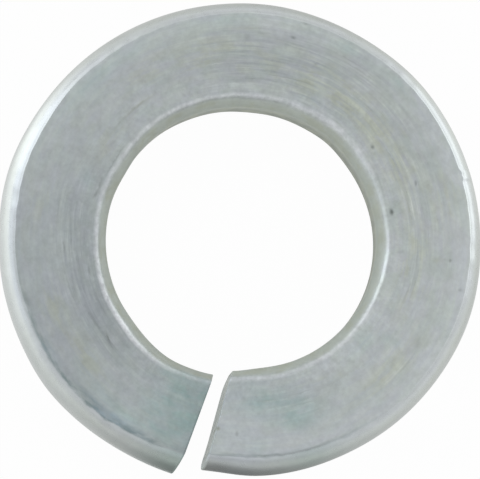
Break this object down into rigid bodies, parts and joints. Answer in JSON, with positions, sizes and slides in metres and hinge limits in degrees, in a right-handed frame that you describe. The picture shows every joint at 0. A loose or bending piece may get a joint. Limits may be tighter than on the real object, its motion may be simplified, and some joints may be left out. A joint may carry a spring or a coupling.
{
  "type": "spring lock washer",
  "caption": "Split spring lock washer: a left-handed turn of flat-sided wire with a raised tip, a rolled rim and a straight slit.",
  "frame": {"origin": "on the bore's axis, at the height of the low tip's underside", "axes": "+Z along the bore's axis towards the raised tip; -Y through the slit, with the low tip on its -X side and the raised tip on its +X side"},
  "size_m": [0.0182, 0.0181, 0.0046],
  "materials": {
    "zinc_plated_steel": "satin zinc plate with fine streaks round the turn and faint blue and yellow-green tints"
  },
  "bodies": {
    "root": {"lock_washer": "zinc_plated_steel"}
  },
  "joints": []
}
